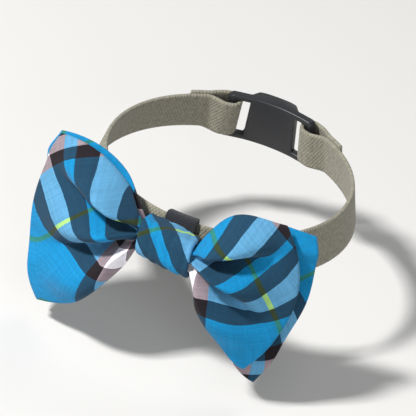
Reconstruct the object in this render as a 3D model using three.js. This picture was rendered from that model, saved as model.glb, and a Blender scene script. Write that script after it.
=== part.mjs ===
// Pet bow tie collar: a double plaid bow, pinched by a cloth knot, on a webbing neck strap with a
// plastic clasp at the nape.
// Millimetres. The origin is the centre of the neck loop at mid width of the strap, +Z runs along the
// neck towards the head, and the bow faces -Y.
import * as THREE from 'three';

// Neck strap: the loop that it closes, and the slope of the neck that it lies on
const neckWidth = 91;
const neckDepth = 96;
const neckSlope = THREE.MathUtils.degToRad(14);
const strapWidth = 16;
const strapWall = 1.6;
const strapTail = 16;

// Clasp: a curved plate with a slot and a bar at each end
const claspLength = 36;
const claspWidth = 21;
const claspBar = 3;
const claspSlot = 5.5;
const claspCrown = 2.6;
const claspCorner = 1.2;
const crownRise = 3;

// Slide loop: elastic round the strap, behind the knot
const loopLength = 12;
const loopWall = 1.2;
const loopCorner = 1.35;

// Knot: the band round the bow's waist
const knotLength = 20;
const knotHeight = 12.8;
const knotWall = 1.5;
const knotFrontCorner = 4.4;
const knotBackCorner = 2.4;

// Bow: two sheets of cloth, pinched at the waist. It hangs a little askew: bowTilt lowers its left end
// (+X), and bowLean pulls its foot to the left.
const bowTilt = THREE.MathUtils.degToRad(6);
const bowLean = THREE.MathUtils.degToRad(-5);
const bowSpan = 104;
const bowHeight = 62;
const clothWall = 1.5;
const pleatDepth = 1.1;
const foldDepth = 5.9;
const backFoldDepth = 0.9;
const frontPuff = 4.5;
const backSet = 4.6;
const edgeCurl = 2.5;
const wingSweep = THREE.MathUtils.degToRad(28);

// Clearance between neighbouring pieces
const gap = 0.3;

// Each wing, with lengths as shares of half the bow's span or height. topReach and footReach go to the
// outer corners, endBulge rounds the outer edge, topRise and footRise are the corner heights, fullness
// says how fast an edge rises next to the knot, and droop is how far the outer end hangs. A crease is
// the valley between two folds: where it leaves the knot, and where it ends at the outer edge, with
// the foot at -1 and the top at 1.
const wings = {
  front: [
    { side: -1, topReach: 1.00, footReach: 0.92, endBulge: 0.11, topRise: 1.02, footRise: 0.94,
      topFullness: 2.3, footFullness: 3.6, droop: 0.37,
      topCrease: 0.26, topCreaseEnd: 0.66, footCrease: -0.15, footCreaseEnd: -0.28 },
    { side: 1, topReach: 0.78, footReach: 0.69, endBulge: 0.20, topRise: 0.77, footRise: 0.97,
      topFullness: 3.9, footFullness: 1.6, droop: -0.02,
      topCrease: 0.26, topCreaseEnd: 0.62, footCrease: -0.04, footCreaseEnd: -0.44 },
  ],
  back: [
    { side: -1, topReach: 1.08, footReach: 0.97, endBulge: 0.12, topRise: 0.99, footRise: 0.98,
      topFullness: 2.5, footFullness: 2.2, droop: 0.33,
      topCrease: 0.26, topCreaseEnd: 0.56, footCrease: -0.15, footCreaseEnd: -0.34 },
    { side: 1, topReach: 1.02, footReach: 0.79, endBulge: 0.12, topRise: 0.78, footRise: 1.07,
      topFullness: 3.0, footFullness: 1.8, droop: 0.03,
      topCrease: 0.26, topCreaseEnd: 0.54, footCrease: -0.04, footCreaseEnd: -0.44 },
  ],
};

// How the folds run along a wing, in shares of its length: over creaseTurn the creases turn from the
// even pleats of the waist to their own ways, and over openShare the pleats open to full folds.
const creaseTurn = 0.12;
const openShare = 0.22;
const backOpenShare = 0.3;

// Over fadeShare of the length the folds fade again, because the outer edge is free to lie flat.
const fadeShare = 0.9;

// Shape of a fold: foldEnd is the share of its depth left at the outer edge, and a foldSharpness of 1
// is a plain wave and of 0.5 a row of arches that meet in sharp creases. The lowest fold starts at
// footStart of its wave, because the foot edge comes forward as the fold opens. The lean of a fold,
// from the foot up, brings its ridge down over its lower crease: 1 leaves it upright.
const foldEnd = 0.06;
const foldSharpness = 0.55;
const footStart = 0.35;
const foldLeans = [1, 2.1, 2.1];

// A fold's steep sides may make its wall this much thicker than the cloth, measured outwards
const steepWall = 2.4;

// At its outer edge the back sheet comes close to the front one: backClose is the share of backSet left
const backClose = 0.1;

// The front's puff is tallest a little nearer the knot than half way, and flatter by puffFall at the
// top and foot edges. The edge curl only starts near those edges.
const puffLean = 0.7;
const puffFall = 0.4;
const curlPower = 4;

// Steps of the grids
const strapSteps = 72;
const tailSteps = 8;
const wrapSteps = 6;
const claspSteps = 8;
const loopSteps = 4;
const loopSides = 16;
const knotSteps = 8;
const knotSides = 32;
const wingSteps = 11;
const wingCrowding = 1.4;
const stepsPerFold = 7;

const mix = (a, b, share) => a + (b - a) * share;
const smooth = (t) => t * t * (3 - 2 * t);
const clamp = (t) => Math.min(1, Math.max(0, t));

// A closed mesh from a list of corners and a list of triangles
function solid(corners, triangles) {
  const geometry = new THREE.BufferGeometry();
  geometry.setAttribute('position', new THREE.Float32BufferAttribute(corners.flat(), 3));
  geometry.setIndex(triangles.flat());
  geometry.computeVertexNormals();
  return geometry;
}

// Two triangles for the quad a, b, c, d, seen anticlockwise from outside
const quad = (a, b, c, d) => [[a, b, c], [a, c, d]];

// A sheet with a wall: outer(i, j) and inner(i, j) give its two faces on a grid, and a rim joins them.
// The outer face looks along the cross product of the i and j directions.
function sheet(columns, rows, outer, inner) {
  const corners = [];
  const triangles = [];
  const count = (columns + 1) * (rows + 1);
  const at = (i, j) => i * (rows + 1) + j;
  for (const face of [outer, inner]) {
    for (let i = 0; i <= columns; i++) {
      for (let j = 0; j <= rows; j++) corners.push(face(i, j));
    }
  }
  for (let i = 0; i < columns; i++) {
    for (let j = 0; j < rows; j++) {
      const [a, b, c, d] = [at(i, j), at(i + 1, j), at(i + 1, j + 1), at(i, j + 1)];
      triangles.push(...quad(a, b, c, d), ...quad(count + a, count + d, count + c, count + b));
    }
  }
  const rim = [];
  for (let i = 0; i < columns; i++) rim.push(at(i, 0));
  for (let j = 0; j < rows; j++) rim.push(at(columns, j));
  for (let i = columns; i > 0; i--) rim.push(at(i, rows));
  for (let j = rows; j > 0; j--) rim.push(at(0, j));
  rim.forEach((a, k) => {
    const b = rim[(k + 1) % rim.length];
    triangles.push(...quad(a, count + a, count + b, b));
  });
  return solid(corners, triangles);
}

// A sleeve with a wall, open at both ends: outer(i, j) and inner(i, j) give rings of points, with j
// going round each ring.
function sleeve(lengths, around, outer, inner) {
  const corners = [];
  const triangles = [];
  const count = (lengths + 1) * around;
  const at = (i, j) => i * around + (j % around);
  for (const face of [outer, inner]) {
    for (let i = 0; i <= lengths; i++) {
      for (let j = 0; j < around; j++) corners.push(face(i, j));
    }
  }
  for (let j = 0; j < around; j++) {
    for (let i = 0; i < lengths; i++) {
      const [a, b, c, d] = [at(i, j), at(i, j + 1), at(i + 1, j + 1), at(i + 1, j)];
      triangles.push(...quad(a, b, c, d), ...quad(count + a, count + d, count + c, count + b));
    }
    const [a, b] = [at(0, j), at(0, j + 1)];
    const [c, d] = [at(lengths, j), at(lengths, j + 1)];
    triangles.push(...quad(b, a, count + a, count + b), ...quad(c, d, count + d, count + c));
  }
  return solid(corners, triangles);
}

// The strap's mid line in plan is an ellipse
const ringWidth = (neckWidth + strapWall) / 2;
const ringDepth = (neckDepth + strapWall) / 2;

// A point near the strap: angle goes round the neck from the nape, out is the distance outwards from
// the mid line, and up is the distance along the strap's width, on the slope of the neck.
function onNeck(angle, out, up) {
  const across = new THREE.Vector2(ringWidth * Math.sin(angle), ringDepth * Math.cos(angle));
  const outwards = new THREE.Vector2(Math.sin(angle) / ringWidth, Math.cos(angle) / ringDepth).normalize();
  const reach = out * Math.cos(neckSlope) - up * Math.sin(neckSlope);
  return [
    across.x + outwards.x * reach,
    across.y + outwards.y * reach,
    up * Math.cos(neckSlope) + out * Math.sin(neckSlope),
  ];
}

// Angle round the neck for a length along the strap near the nape
const napeAngle = (length) => length / ringWidth;

// The strap runs from one folded end, round the clasp's bar, round the neck and back to the other
// folded end. Each row of the path is an angle and a distance outwards.
function strapPath() {
  const barCentre = (claspLength - claspBar) / 2;
  const wrap = Math.hypot(claspBar, claspBar) / 2 + gap + strapWall / 2;
  const layer = strapWall + gap;
  const settle = (length) => smooth(clamp((length - claspBar / 2 - gap) / (strapTail / 2)));
  const end = [];
  for (let k = tailSteps; k >= 0; k--) {
    const length = strapTail * k / tailSteps;
    end.push([barCentre + length, mix(wrap, layer, settle(length))]);
  }
  for (let k = 1; k < wrapSteps; k++) {
    const turn = Math.PI * k / wrapSteps;
    end.push([barCentre - wrap * Math.sin(turn), wrap * Math.cos(turn)]);
  }
  for (let k = 0; k <= tailSteps; k++) {
    const length = strapTail * k / tailSteps;
    end.push([barCentre + length, mix(-wrap, 0, settle(length))]);
  }
  const near = end.map(([length, out]) => [napeAngle(length), out]);
  const far = near.map(([angle, out]) => [2 * Math.PI - angle, out]).reverse();
  const first = near[near.length - 1][0];
  const last = far[0][0];
  const round = [];
  for (let k = 1; k < strapSteps; k++) round.push([mix(first, last, k / strapSteps), 0]);
  return [...near, ...round, ...far];
}

function neckStrap() {
  const path = strapPath();
  const points = path.map(([angle, out]) => new THREE.Vector2(angle * ringWidth, out));
  const side = points.map((point, k) => {
    const before = points[Math.max(0, k - 1)];
    const after = points[Math.min(points.length - 1, k + 1)];
    const along = after.clone().sub(before).normalize();
    return new THREE.Vector2(-along.y, along.x);
  });
  const edge = (share) => (i, j) => {
    const point = points[i].clone().addScaledVector(side[i], share * strapWall / 2);
    return onNeck(point.x / ringWidth, point.y, (j - 0.5) * strapWidth);
  };
  return sheet(points.length - 1, 1, edge(-1), edge(1));
}

// The clasp is a curved plate in columns along the strap and rows across it. Two of its cells are the
// slots, and its middle is crowned.
function clasp() {
  const half = claspLength / 2;
  const slotOuter = half - claspBar;
  const slotInner = slotOuter - claspSlot;
  const cornerStart = half - claspCorner;
  const lengths = [-half, -cornerStart, -slotOuter];
  for (let k = 0; k <= claspSteps; k++) lengths.push(mix(-slotInner, slotInner, k / claspSteps));
  lengths.push(slotOuter, cornerStart, half);
  const slotHalf = strapWidth / 2 + gap;
  const halfWidth = (x) => claspWidth / 2 - Math.max(0, Math.abs(x) - cornerStart);
  const rows = [(x) => -halfWidth(x), () => -slotHalf, () => slotHalf, halfWidth];
  const isSlot = (i, j) => {
    const middle = Math.abs((lengths[i] + lengths[i + 1]) / 2);
    return j === 1 && middle > slotInner && middle < slotOuter;
  };
  const crown = (x) => claspCrown * smooth(clamp((slotInner - Math.abs(x)) / crownRise));
  const corner = (i, j, face) => {
    const x = lengths[i];
    const out = face * claspBar / 2 + (face > 0 ? crown(x) : 0);
    return onNeck(napeAngle(x), out, rows[j](x));
  };
  const corners = [];
  const triangles = [];
  const perFace = lengths.length * rows.length;
  const at = (i, j, face) => (face > 0 ? 0 : perFace) + i * rows.length + j;
  for (const face of [1, -1]) {
    for (let i = 0; i < lengths.length; i++) {
      for (let j = 0; j < rows.length; j++) corners.push(corner(i, j, face));
    }
  }
  const filled = (i, j) => i >= 0 && j >= 0 && i < lengths.length - 1 && j < rows.length - 1
    && !isSlot(i, j);
  for (let i = 0; i < lengths.length - 1; i++) {
    for (let j = 0; j < rows.length - 1; j++) {
      if (!filled(i, j)) continue;
      const ring = [[i, j], [i, j + 1], [i + 1, j + 1], [i + 1, j]];
      const out = ring.map(([a, b]) => at(a, b, 1));
      const inward = ring.map(([a, b]) => at(a, b, -1));
      triangles.push(...quad(...out), ...quad(...inward.slice().reverse()));
      const beyond = [[i - 1, j], [i, j + 1], [i + 1, j], [i, j - 1]];
      beyond.forEach(([a, b], k) => {
        if (filled(a, b)) return;
        const next = (k + 1) % 4;
        triangles.push(...quad(out[k], inward[k], inward[next], out[next]));
      });
    }
  }
  return solid(corners, triangles);
}

// Depths in front of the strap's mid line, along the bow's facing direction
const loopOut = strapWall / 2 + gap + loopWall;
const knotBack = loopOut + gap;
const waistHeight = knotHeight - 2 * (knotWall + gap);
const foldCount = 3;
const pleatSlope = pleatDepth * foldCount * 2 * Math.PI / waistHeight;
const waistWall = clothWall * Math.hypot(1, pleatSlope);
const waistDepth = 2 * pleatDepth + 2 * waistWall + gap;
const knotDepth = waistDepth + 2 * (knotWall + gap);
const frontFace = knotBack + knotWall + gap + waistDepth - pleatDepth;

// A point of the bow: x to the bow's left and right, up along its height, and out towards its front
function onBow(x, up, out) {
  const rise = up - x * Math.tan(bowTilt);
  return [
    x + up * Math.tan(bowLean),
    -ringDepth - out * Math.cos(neckSlope) + rise * Math.sin(neckSlope),
    out * Math.sin(neckSlope) + rise * Math.cos(neckSlope),
  ];
}

function slideLoop() {
  const outer = gap + loopWall;
  const ring = (grow) => (i, j) => {
    const angle = Math.PI - napeAngle(mix(-loopLength / 2, loopLength / 2, i / loopSteps));
    const [a, b] = roundedSection(j / loopSides, strapWidth / 2 + grow, strapWall / 2 + grow,
      loopCorner * grow / outer);
    return onNeck(angle, b, a);
  };
  return sleeve(loopSteps, loopSides, ring(outer), ring(gap));
}

// A rounded rectangle worked out by angle: half sizes a and b, with corners of one radius towards +b
// and of another towards -b
function roundedSection(share, a, b, frontRadius, backRadius = frontRadius) {
  const turn = share * 4;
  const corner = Math.floor(turn) % 4;
  const radius = corner < 2 ? frontRadius : backRadius;
  const angle = (corner + clamp((turn - Math.floor(turn)) * 4 / 3 - 1 / 6)) * Math.PI / 2;
  const centreA = (a - radius) * [1, -1, -1, 1][corner];
  const centreB = (b - radius) * [1, 1, -1, -1][corner];
  return [centreA + radius * Math.cos(angle), centreB + radius * Math.sin(angle)];
}

function knot() {
  const centre = knotBack + knotDepth / 2;
  const ring = (shrink) => (i, j) => {
    const x = mix(-knotLength / 2, knotLength / 2, i / knotSteps);
    const [up, out] = roundedSection((j + 0.5) / knotSides, knotHeight / 2 - shrink, knotDepth / 2 - shrink,
      knotFrontCorner - shrink, knotBackCorner - shrink);
    return onBow(x, up, centre + out);
  };
  return sleeve(knotSteps, knotSides, ring(0), ring(knotWall));
}

// The wings start just outside the knot
const wingStart = knotLength / 2 + gap;

// A wing's half height above and below its middle line at the share t of its length, from the waist's
// to its full height
const halfHeight = (rise, fullness, t) => mix(waistHeight, bowHeight * rise, 1 - (1 - t) ** fullness) / 2;

// A point of a wing, bent back round the neck: t goes from the knot to the outer edge, v from the foot
// to the top, and relief is the distance out from the bend.
function wingPoint(wing, t, v, relief) {
  const halfSpan = bowSpan / 2;
  const reach = halfSpan * (mix(wing.footReach, wing.topReach, (v + 1) / 2) + wing.endBulge * (1 - v * v));
  const along = t * (reach - wingStart);
  const bendRadius = (halfSpan - wingStart) / wingSweep;
  const angle = along / bendRadius;
  const x = wingStart + (bendRadius + relief) * Math.sin(angle);
  const out = (bendRadius + relief) * Math.cos(angle) - bendRadius;
  return onBow(wing.side * x, riseAt(wing, t, v) - wing.droop * along, frontFace + out);
}

// Height of v above a wing's middle line, which splits its height unevenly where top and foot differ
function riseAt(wing, t, v) {
  const top = halfHeight(wing.topRise, wing.topFullness, t);
  const foot = halfHeight(wing.footRise, wing.footFullness, t);
  return v * ((top + foot) / 2 + (top - foot) / 2 * v);
}

// How open the folds are along a wing, and how far they still feel the knot's hold
const opened = (t) => smooth(clamp(t / openShare));
const held = (t) => 1 - smooth(clamp((t - openShare) / (fadeShare - openShare)));

// The place of v for a point that lies so many folds above the foot: whole numbers are the foot, the
// two creases and the top.
function foldToV(wing, t, fold) {
  const turned = smooth(clamp(t / creaseTurn));
  const even = 1 - 2 / foldCount;
  const low = mix(-even, mix(wing.footCrease, wing.footCreaseEnd, t), turned);
  const high = mix(even, mix(wing.topCrease, wing.topCreaseEnd, t), turned);
  const lines = [-1, low, high, 1];
  const below = Math.min(foldCount - 1, Math.floor(fold));
  const lean = mix(1, foldLeans[below], opened(t) * held(t));
  return mix(lines[below], lines[below + 1], (fold - below) ** lean);
}

// The height of a fold between -1 at its creases and 1 at its ridge
function foldWave(t, fold) {
  const full = opened(t) * held(t);
  const phase = fold < 1 ? mix(footStart * full, 1, fold) : fold % 1;
  return 2 * Math.abs(Math.sin(Math.PI * phase)) ** (2 * mix(1, foldSharpness, full)) - 1;
}

// Relief of the front sheet: pleats at the waist open into folds that fade towards the outer edge
function frontRelief(t, v, fold) {
  const depth = mix(pleatDepth, foldDepth, opened(t)) * mix(foldEnd, 1, held(t));
  const puff = frontPuff * Math.sin(Math.PI * t ** puffLean) * (1 - puffFall * v * v);
  return depth * foldWave(t, fold) + puff - edgeCurl * v ** curlPower * smooth(t);
}

// Relief of the back sheet, which is flatter and lies behind the front one
function backRelief(t, v, fold) {
  const spread = smooth(clamp(t / backOpenShare));
  const depth = mix(pleatDepth, backFoldDepth, spread);
  const back = waistWall + gap + backSet * mix(backClose, 1, held(t)) * spread;
  return depth * foldWave(t, fold) - back - edgeCurl / 2 * v ** curlPower * smooth(t);
}

// A whole sheet: the left wing from its outer edge to the waist, and the right wing from the waist out
function bowSheet(pair, relief) {
  const shares = [];
  for (let k = wingSteps; k >= 0; k--) shares.push([0, (k / wingSteps) ** wingCrowding]);
  for (let k = 0; k <= wingSteps; k++) shares.push([1, (k / wingSteps) ** wingCrowding]);
  const rows = foldCount * stepsPerFold;
  const spot = (wing, t, j) => {
    const fold = Math.min(rows, Math.max(0, j)) / stepsPerFold;
    const v = foldToV(wing, t, fold);
    return { v, up: riseAt(wing, t, v), out: relief(t, v, fold) };
  };
  const steepest = (wing, t, j) => {
    const here = spot(wing, t, j);
    const slopes = [spot(wing, t, j - 1), spot(wing, t, j + 1)].filter((next) => next.up !== here.up)
      .map((next) => Math.abs((next.out - here.out) / (next.up - here.up)));
    return Math.max(...slopes);
  };
  const face = (back) => (i, j) => {
    const [which, t] = shares[i];
    const wing = pair[which];
    const { v, out } = spot(wing, t, j);
    const wall = clothWall * Math.min(steepWall, Math.hypot(1, steepest(wing, t, j)));
    return wingPoint(wing, t, v, back ? out - wall : out);
  };
  return sheet(shares.length - 1, rows, face(false), face(true));
}

const plaid = new THREE.MeshStandardMaterial({ color: 0x2f8fc6, roughness: 0.85, metalness: 0 });
const khaki = new THREE.MeshStandardMaterial({ color: 0x8f8d7e, roughness: 0.9, metalness: 0 });
const elastic = new THREE.MeshStandardMaterial({ color: 0x1f2226, roughness: 0.9, metalness: 0 });
const plastic = new THREE.MeshStandardMaterial({ color: 0x1c1d1f, roughness: 0.45, metalness: 0 });

const collar = new THREE.Group();

function add(name, geometry, material) {
  const mesh = new THREE.Mesh(geometry, material);
  mesh.name = name;
  collar.add(mesh);
}

add('neck_strap', neckStrap(), khaki);
add('clasp', clasp(), plastic);
add('slide_loop', slideLoop(), elastic);
add('back_bow', bowSheet(wings.back, backRelief), plaid);
add('front_bow', bowSheet(wings.front, frontRelief), plaid);
add('knot', knot(), plaid);

export default collar;
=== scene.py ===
# %% [markdown]
# # A plaid bow tie collar for a small pet
# The real object is two rectangles of plaid cotton, laid one on the other, pinched at the middle and
# held by a cloth knot. An elastic loop behind the knot slides on a webbing neck strap with a plastic
# clasp at the nape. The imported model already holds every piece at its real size, so this script gives
# each one its cloth, folds, weave and stitches, in the same place.

# %% Load the frame
import math

import bmesh
import bpy
import numpy as np
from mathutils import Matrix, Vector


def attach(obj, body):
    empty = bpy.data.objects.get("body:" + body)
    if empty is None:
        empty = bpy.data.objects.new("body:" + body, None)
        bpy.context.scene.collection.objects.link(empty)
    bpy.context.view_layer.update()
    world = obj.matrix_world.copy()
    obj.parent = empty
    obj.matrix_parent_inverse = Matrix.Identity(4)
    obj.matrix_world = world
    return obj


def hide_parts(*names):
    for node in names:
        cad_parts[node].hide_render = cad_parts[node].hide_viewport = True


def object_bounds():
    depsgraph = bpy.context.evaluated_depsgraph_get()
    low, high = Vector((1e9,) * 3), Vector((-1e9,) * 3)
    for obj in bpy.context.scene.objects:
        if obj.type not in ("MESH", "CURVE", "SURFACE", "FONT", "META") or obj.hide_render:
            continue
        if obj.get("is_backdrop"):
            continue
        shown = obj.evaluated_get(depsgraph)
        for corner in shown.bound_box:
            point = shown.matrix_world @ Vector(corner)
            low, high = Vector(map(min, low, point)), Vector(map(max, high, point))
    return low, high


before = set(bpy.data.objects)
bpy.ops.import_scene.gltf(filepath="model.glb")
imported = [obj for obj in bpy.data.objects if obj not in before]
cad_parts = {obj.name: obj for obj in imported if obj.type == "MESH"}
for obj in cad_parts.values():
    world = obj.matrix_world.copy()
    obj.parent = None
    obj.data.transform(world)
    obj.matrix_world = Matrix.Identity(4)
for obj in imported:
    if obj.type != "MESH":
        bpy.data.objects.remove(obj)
cad_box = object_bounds()
print("nodes", sorted(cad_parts))

# %% [markdown]
# Lengths of the collar are in millimetres, because that is how cloth and webbing are sold, and MM
# turns them into Blender's metres. The camera, the lights and the floor are in metres. Two small
# blends are used all over: a straight one and an eased one that starts and ends level. A third
# helper crowds the lines of a grid at its two ends, where cloth and webbing have their round edges.

# %% Units and blends
MM = 0.001  # one millimetre in metres


def mix(a, b, share):
    """The value that lies the given share of the way from a to b."""
    return a + (b - a) * share


def ease(t):
    """0 below 0, 1 above 1, and between them the curve 3t^2 - 2t^3, level at both ends."""
    t = np.clip(t, 0, 1)
    return t * t * (3 - 2 * t)


def crowd_ends(count, strength=0.85):
    """count steps from -1 to 1 that crowd at both ends: a share of the sine of a quarter turn."""
    u = np.linspace(-1, 1, count + 1)
    return mix(u, np.sin(u * np.pi / 2), strength)


# %% [markdown]
# A piece is a grid of points worked out by numpy. The grid becomes a mesh with its own UV map, which
# holds the place of each point on the flat cloth before it was folded. The plaid and the weave are
# drawn from that map, so that the pattern bends and bunches with the cloth.

# %% Make a mesh from arrays
def make_piece(name, points, faces, flat):
    """A smooth mesh from points in mm, quads by index, and a flat place in mm for each quad's corners."""
    mesh = bpy.data.meshes.new(name)
    mesh.from_pydata((points * MM).tolist(), [], faces.tolist())
    layer = mesh.uv_layers.new(name="cut")
    layer.data.foreach_set("uv", (flat * MM).astype(np.float32).ravel())
    mesh.polygons.foreach_set("use_smooth", np.ones(len(mesh.polygons), bool))
    mesh.update()
    piece = bpy.data.objects.new(name, mesh)
    bpy.context.scene.collection.objects.link(piece)
    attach(piece, "root")
    print(name, len(faces), "faces")
    return piece


def grid_faces(index):
    """The quads of a grid of vertex numbers, facing along the cross product of its two directions."""
    a, b, c, d = index[:-1, :-1], index[1:, :-1], index[1:, 1:], index[:-1, 1:]
    return np.stack([a, b, c, d], -1).reshape(-1, 4)


def two_faced(name, outer, inner, flat):
    """A closed cloth: two grids of points that meet along their border, where the inner one is dropped."""
    rows, columns = outer.shape[:2]
    front = np.arange(rows * columns).reshape(rows, columns)
    back = front + rows * columns
    border = np.ones((rows, columns), bool)
    border[1:-1, 1:-1] = False
    back[border] = front[border]
    points = np.concatenate([outer.reshape(-1, 3), inner.reshape(-1, 3)])
    faces = np.concatenate([grid_faces(front), grid_faces(back)[:, ::-1]])
    places = np.concatenate([flat.reshape(-1, 2)] * 2)[faces]
    used, faces = np.unique(faces, return_inverse=True)
    return make_piece(name, points[used], faces.reshape(-1, 4), places)


# %% [markdown]
# The neck strap closes an oval loop. The neck is wider below than above, so the strap lies on a slope
# like a collar on a cone. Every later piece is placed with one of two rules: round the neck, or on
# the flat patch at the front of the loop where the bow sits.

# %% Neck sizes and the two placing rules
# Angles in degrees are turned into radians once, where they are named.
NECK_WIDTH, NECK_DEPTH = 91, 96
NECK_SLOPE = math.radians(14)
BOW_TILT, BOW_LEAN = math.radians(6), math.radians(-5)
STRAP_WIDTH, STRAP_WALL = 16, 1.6
GAP = 0.3
RING_WIDTH = (NECK_WIDTH + STRAP_WALL) / 2
RING_DEPTH = (NECK_DEPTH + STRAP_WALL) / 2


def on_neck(angle, out, up):
    """Points near the strap: angle from the nape round the oval, out from its mid line, up its width."""
    across, deep = RING_WIDTH * np.sin(angle), RING_DEPTH * np.cos(angle)
    away = np.stack([np.sin(angle) / RING_WIDTH, np.cos(angle) / RING_DEPTH])
    away = away / np.hypot(*away)
    reach = out * math.cos(NECK_SLOPE) - up * math.sin(NECK_SLOPE)
    rise = up * math.cos(NECK_SLOPE) + out * math.sin(NECK_SLOPE)
    return np.stack([across + away[0] * reach, deep + away[1] * reach, rise], -1)


def on_bow(x, up, out):
    """Points of the bow: x sideways, up its height and out to its front.

    The bow hangs a little askew: its left end (+X) is low and its foot is pulled to the left. It
    leans back with the neck.
    """
    side = x + up * math.tan(BOW_LEAN)
    rise = up - x * math.tan(BOW_TILT)
    deep = -RING_DEPTH - out * math.cos(NECK_SLOPE) + rise * math.sin(NECK_SLOPE)
    return np.stack([side, deep, out * math.sin(NECK_SLOPE) + rise * math.cos(NECK_SLOPE)], -1)


# %% [markdown]
# The camera stands where the photograph's did: a little to the bow's own left, above the plane of
# the strap, and rolled, because the collar leans in the picture. It is closer than the photograph's
# camera so that the collar fills the frame.

# %% Camera
VIEW_SIDE, VIEW_RISE, VIEW_ROLL = (math.radians(a) for a in (14, 31, 13.5))
VIEW_DISTANCE = 1.1
VIEW_FIELD = 0.146
VIEW_TARGET = np.array([0.0015, -0.022, 0.0])


def view_axes():
    """The camera's right, up and back directions for its side angle, rise and roll."""
    back = np.array([math.sin(VIEW_SIDE) * math.cos(VIEW_RISE),
                     -math.cos(VIEW_SIDE) * math.cos(VIEW_RISE), math.sin(VIEW_RISE)])
    level = np.array([math.cos(VIEW_SIDE), math.sin(VIEW_SIDE), 0])
    upright = np.cross(back, level)
    right = level * math.cos(VIEW_ROLL) + upright * math.sin(VIEW_ROLL)
    return right, np.cross(back, right), back


def add_camera(target):
    """A long lens whose field at the collar is VIEW_FIELD wide."""
    right, up, back = view_axes()
    data = bpy.data.cameras.new("photo_view")
    data.sensor_width = 36
    data.lens = data.sensor_width * VIEW_DISTANCE / VIEW_FIELD
    camera = bpy.data.objects.new("photo_view", data)
    place = np.eye(4)
    place[:3, 0], place[:3, 1], place[:3, 2] = right, up, back
    place[:3, 3] = target + back * VIEW_DISTANCE
    camera.matrix_world = place.T.tolist()
    bpy.context.scene.collection.objects.link(camera)
    bpy.context.scene.camera = camera


add_camera(VIEW_TARGET)
bpy.context.view_layer.update()
print("camera", tuple(round(c, 3) for c in bpy.context.scene.camera.location))

# %% [markdown]
# Small node helpers keep the materials short. Each material is one principled shader; a colour, a
# roughness or a bump reaches it through nodes only where it changes over the surface.

# %% Node helpers
def linear(rgb):
    """Screen colour from 0 to 255 as the linear light that shaders use."""
    c = np.array(rgb) / 255
    low = c <= 0.04045
    return (*np.where(low, c / 12.92, ((c + 0.055) / 1.055) ** 2.4), 1.0)


def new_material(name, roughness, sheen=0.0):
    """A material with one principled shader, and that shader."""
    material = bpy.data.materials.new(name)
    material.use_nodes = True
    shader = material.node_tree.nodes["Principled BSDF"]
    shader.inputs["Roughness"].default_value = roughness
    shader.inputs["Sheen Weight"].default_value = sheen
    shader.inputs["Sheen Roughness"].default_value = 0.5
    return material, shader


def node(material, kind, links=(), **settings):
    """Adds a node, sets its properties, and links or sets its inputs by name or number."""
    made = material.node_tree.nodes.new(kind)
    for key, value in settings.items():
        setattr(made, key, value)
    for where, what in dict(links).items():
        if isinstance(what, bpy.types.NodeSocket):
            material.node_tree.links.new(what, made.inputs[where])
        else:
            made.inputs[where].default_value = what
    return made


def maths(material, operation, *values):
    """One Math node; each value is a number or a socket."""
    return node(material, "ShaderNodeMath", dict(enumerate(values)), operation=operation).outputs[0]


def blend(material, factor, first, second, how="MIX"):
    """One colour Mix node; each value is a colour or a socket."""
    made = node(material, "ShaderNodeMix", data_type="RGBA", blend_type=how)
    for where, what in ((0, factor), (6, first), (7, second)):
        if isinstance(what, bpy.types.NodeSocket):
            material.node_tree.links.new(what, made.inputs[where])
        else:
            made.inputs[where].default_value = what
    return made.outputs[2]


def put(material, shader, where, socket):
    """Links a socket to an input of the shader."""
    material.node_tree.links.new(socket, shader.inputs[where])


def bump(material, shader, height, distance, strength=1.0):
    """A Bump node of the given depth in mm on the shader's normal."""
    made = node(material, "ShaderNodeBump", {"Height": height})
    made.inputs["Strength"].default_value = strength
    made.inputs["Distance"].default_value = distance * MM
    put(material, shader, "Normal", made.outputs[0])


# %% [markdown]
# A plaid is woven with the same order of coloured yarns in warp and weft. Where two colours cross,
# the eye sees a third: blue over black is slate, blue over white is sky blue. The order of yarns is
# the sett, charted here in millimetres, and a second small chart gives the colour of each
# crossing. The cloth was cut on the bias, so both families of stripes run at 45 degrees.

# %% The plaid's sett and crossing colours
SETT = [("blue", 1.8), ("black", 5.4), ("white", 6.8), ("black", 5.2), ("blue", 22.8), ("green", 1.5),
        ("blue", 22.8), ("black", 5.2), ("white", 6.8), ("black", 5.4), ("blue", 1.8)]
REPEAT = sum(width for _, width in SETT)
print("one repeat of the plaid is", round(REPEAT, 1), "mm")
CROSSING = {
    ("blue", "blue"): (0, 124, 176),
    ("black", "blue"): (17, 58, 82),
    ("blue", "white"): (83, 144, 182),
    ("blue", "green"): (36, 118, 110),
    ("black", "black"): (24, 16, 22),
    ("black", "white"): (138, 124, 130),
    ("black", "green"): (42, 56, 30),
    ("white", "white"): (232, 228, 234),
    ("green", "white"): (152, 196, 112),
    ("green", "green"): (124, 160, 44),
}


def crossing(one, other):
    """The linear colour where two yarns cross, whichever way round they are."""
    return linear(CROSSING[tuple(sorted((one, other)))])


def sett_ramp(material, place, colour_of):
    """A stepped ramp over one repeat of the sett; colour_of gives the colour for each yarn.

    A new ramp comes with a stop at its far end, which the sett doesn't need.
    """
    ramp = node(material, "ShaderNodeValToRGB", {0: place})
    ramp.color_ramp.interpolation = "CONSTANT"
    stops = ramp.color_ramp.elements
    start = 0
    for count, (yarn, width) in enumerate(SETT):
        stop = stops[0] if count == 0 else stops.new(start / REPEAT)
        stop.color = colour_of(yarn)
        start += width
    last = max(stops, key=lambda stop: stop.position)
    if last.position == 1:
        stops.remove(last)
    return ramp.outputs[0]


# %% [markdown]
# The cloth is yarn-dyed cotton in a fine twill. Its plaid could be painted on an image, but an image
# has a fixed sharpness and needs a file. Here the stripes are stepped colour ramps over the two
# directions of the flat cloth, so they stay sharp at any distance and follow every fold.

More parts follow.
